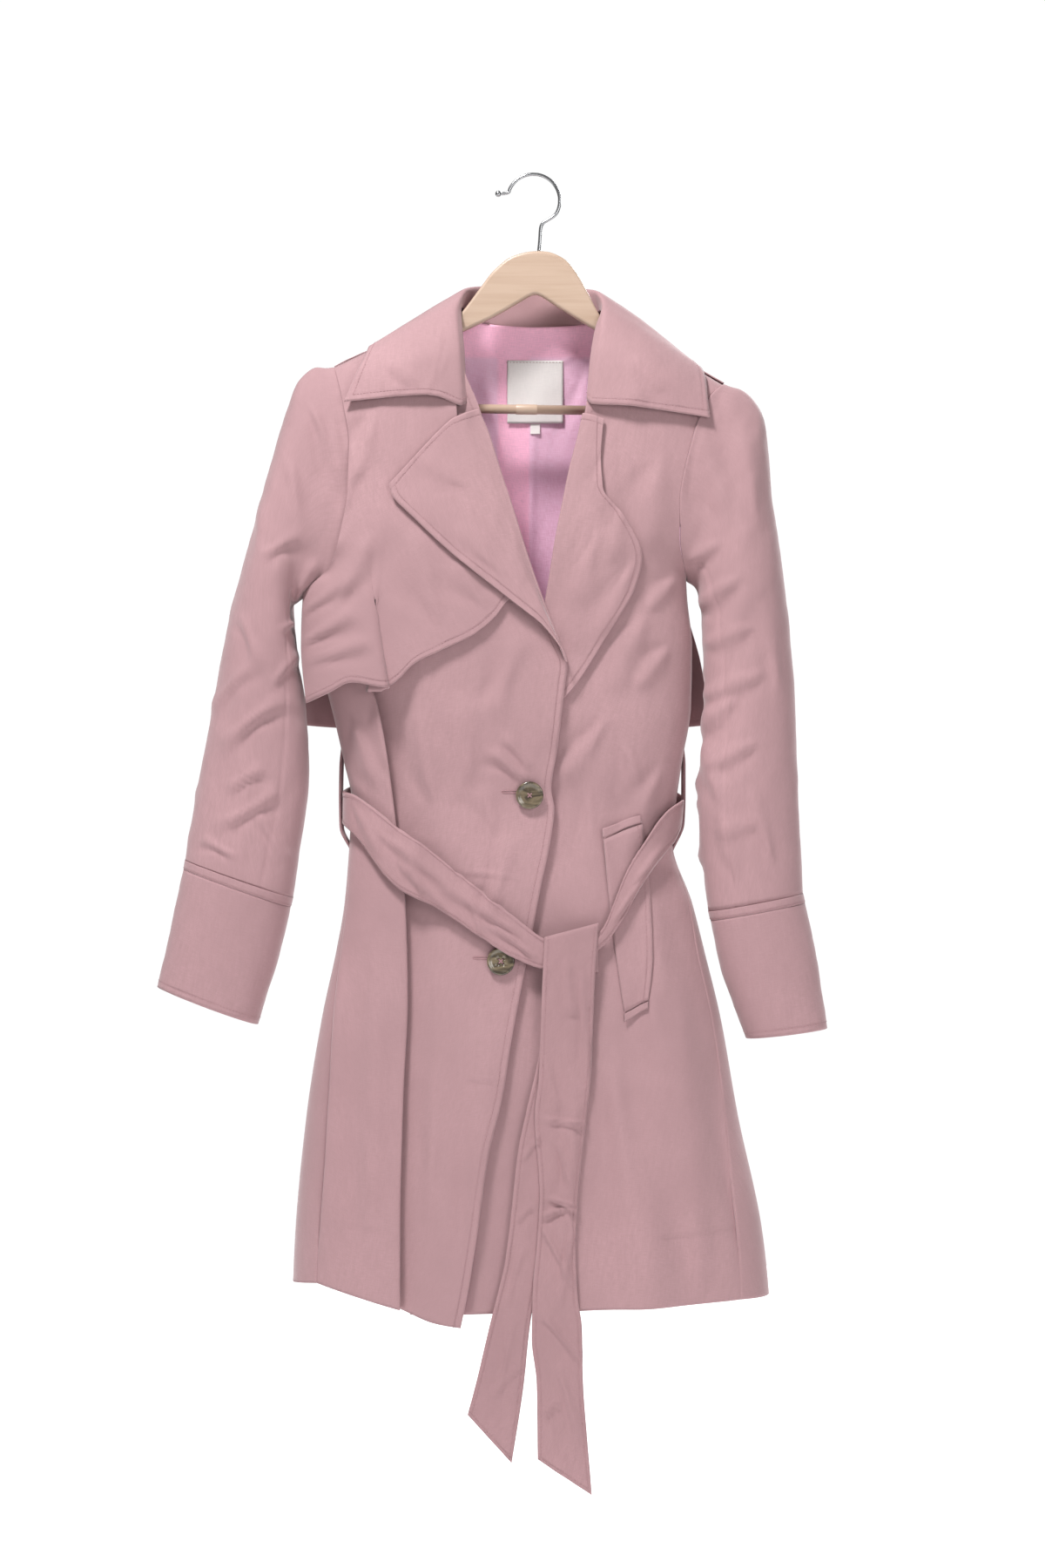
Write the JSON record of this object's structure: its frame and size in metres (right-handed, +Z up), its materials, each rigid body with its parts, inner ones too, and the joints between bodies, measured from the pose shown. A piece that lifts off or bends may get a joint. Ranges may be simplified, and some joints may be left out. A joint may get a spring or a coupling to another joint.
{
  "type": "trench coat on a wooden hanger",
  "caption": "Belted single-breasted trench coat with storm flap, back cape and notched lapels, hanging open at the neck on an arched wooden hanger with a wire hook.",
  "frame": {"origin": "inside top of the hanger's hook, the place it hangs by", "axes": "+Z up, +X the wearer's left (to the right in the picture), -Y the coat's front"},
  "size_m": [0.6812, 0.1664, 1.3367],
  "materials": {
    "cloth": "dusty pink twill, matt with a soft sheen",
    "cloth_belt": "the same twill, stitched",
    "lining": "smooth shot lining, pink and lilac",
    "label": "cream woven label, left bare",
    "horn": "streaked horn look, polished",
    "wood": "light wood, clear satin finish",
    "steel": "bright wire"
  },
  "bodies": {
    "root": {"front_right": "cloth", "front_left": "cloth", "back_right": "cloth", "back_left": "cloth", "sleeve_right_upper": "cloth", "sleeve_right_under": "cloth", "sleeve_left_upper": "cloth", "sleeve_left_under": "cloth", "cuff_right": "cloth", "cuff_left": "cloth", "cuff_right_band": "cloth", "cuff_left_band": "cloth", "collar_stand": "cloth", "collar_fall": "cloth", "lapel_right": "cloth", "lapel_left": "cloth", "storm_flap": "cloth", "back_cape": "cloth", "pocket_welt": "cloth", "pocket_tab_upper": "cloth", "pocket_tab_lower": "cloth", "belt_right": "cloth_belt", "belt_left": "cloth_belt", "belt_back": "cloth_belt", "belt_tail_long": "cloth_belt", "belt_tail_short": "cloth_belt", "belt_loop_right": "cloth_belt", "belt_loop_left": "cloth_belt", "lining_back": "lining", "neck_label": "label", "size_tag": "label", "button_upper": "horn", "button_lower": "horn", "hanger_board": "wood", "hanger_bar": "wood", "hook": "steel", "hook_tip": "steel"}
  },
  "joints": []
}
